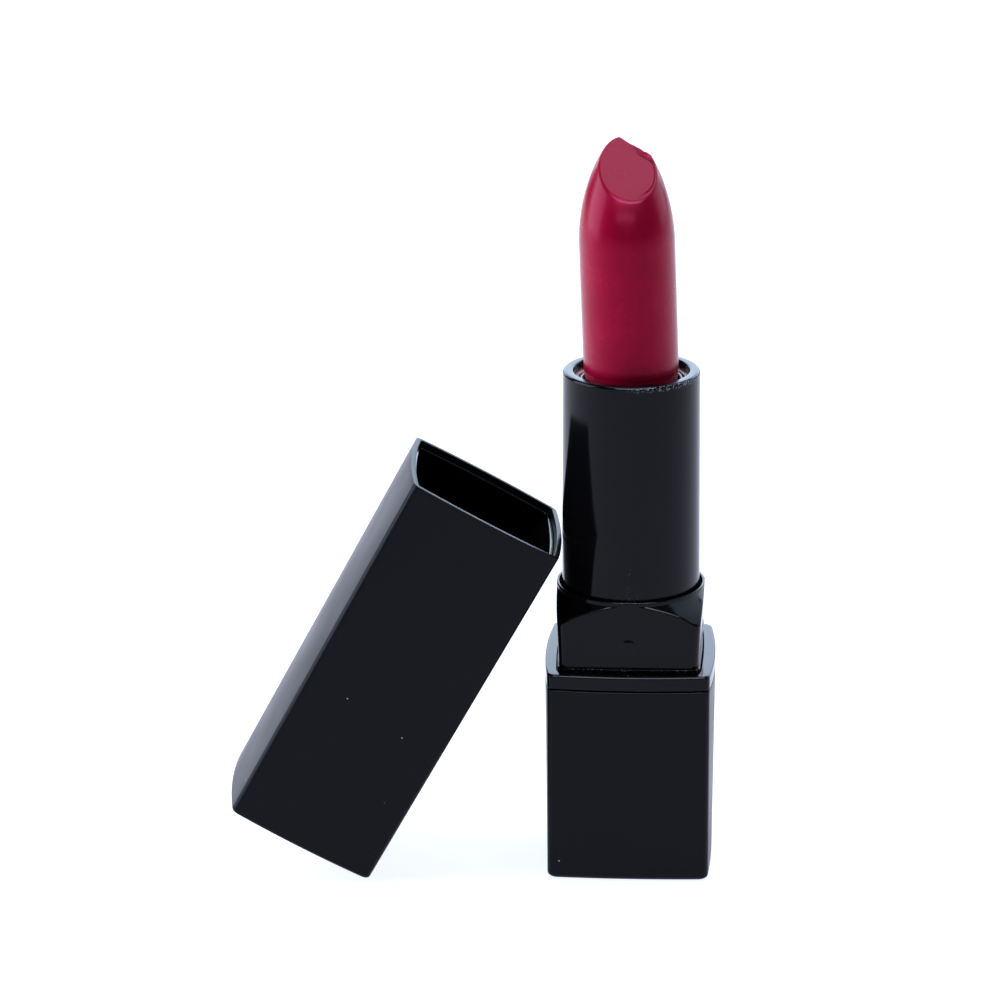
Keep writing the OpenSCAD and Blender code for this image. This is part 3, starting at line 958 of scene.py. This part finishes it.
def cap_shell():
    """Outer cap: a long bowed square cup with a thin mouth."""
    rings = []
    for inset, z in rounding(CAP_EDGE_R, 8):
        rings.append(ring(z, pillow(cap_w(z) - 2 * inset)))
    for z in (CAP_EDGE_R + 0.3, CAP_LEN / 2, CAP_LEN - 0.8):
        rings.append(ring(z, pillow(cap_w(z))))
    for inset, down in reversed(rounding(CAP_MOUTH_R, 4)):
        rings.append(ring(CAP_LEN - down, pillow(CASE_W - 2 * inset)))
    inner_w = CASE_W - 2 * CAP_WALL
    for down, out in ((0, 0.07), (0.02, 0.025), (0.07, 0)):
        rings.append(ring(CAP_LEN - down, pillow(inner_w + 2 * out, CASE_BOW_R, CAVITY_CORNER_R)))
    floor_w = cap_w(CAP_WALL) - 2 * CAP_WALL
    rings.append(ring(CAP_WALL, pillow(floor_w, CASE_BOW_R, CAVITY_CORNER_R)))
    return parked_skin(rings)


def cap_liner():
    """Liner that sits a little inside the cap's mouth, with a rounded rim."""
    low, high = CAP_WALL + SLIP, CAP_LEN - LINER_RECESS

    def outer(z, inset=0.0):
        return pillow(cap_w(z) - 2 * (CAP_WALL + SLIP + inset), CASE_BOW_R, 0.45)

    def inner(z, inset=0.0):
        return pillow(cap_w(z) - 2 * (CAP_WALL + SLIP + LINER_WALL - inset), CAVITY_BOW_R, 0.4)

    rings = [ring(low, outer(low)), ring(high - 0.4, outer(high))]
    for inset, down in reversed(rounding(LINER_EDGE_R, 4)):
        rings.append(ring(high - down, outer(high, inset)))
    for inset, down in rounding(LINER_EDGE_R, 4):
        rings.append(ring(high - down, inner(high, inset)))
    rings.append(ring(high - 0.5, inner(high)))
    rings.append(ring(low + LINER_WALL, inner(low + LINER_WALL)))
    return parked_skin(rings)


def add_floor():
    """Large round sheet of studio paper under the case."""
    mesh = bmesh.new()
    bmesh.ops.create_circle(mesh, cap_ends=True, radius=6000, segments=96)
    obj = make_object("floor", mesh)
    obj.location.z = cad_bounds[0].z
    obj.data.materials.append(floor_paper())


def dress_node(node, material):
    """Gives a CAD node that stays as it is its material."""
    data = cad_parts[node].data
    data.materials.clear()
    data.materials.append(material)


add_camera()
add_lights()
add_floor()

satin = satin_black()
gloss = gloss_black("gloss_black", 0.5)

stand_in("base_skin", base_shell(), satin, "base", "base_shell")
stand_in("shoulder_skin", shoulder_plate(), gloss, "base", "shoulder_plate")
stand_in("collar_skin", collar(), gloss, "base", "collar")
stand_in("a_shell_skin", a_shell(), shell_black(), "shell", "a_shell")
stand_in("cup_skin", cup(), cup_black(), "cup", "cup")
stand_in("bullet_skin", bullet(), lipstick(), "cup", "bullet")
stand_in("cap_skin", cap_shell(), satin, "cap", "cap_shell")
stand_in("liner_skin", cap_liner(), gloss, "cap", "cap_liner")

core = moulded("core_plastic", "202126", "2a2b31", 0.5)
cam = moulded("cam_plastic", "dedcd4", "eceae3", 0.38)
dress_node("base_weight", steel())
dress_node("base_core", core)
dress_node("base_label", label_film())
dress_node("brake_ring", moulded("silicone", "333436", "404144", 0.6))
dress_node("fork_tube", cam)
dress_node("cam_sleeve", cam)
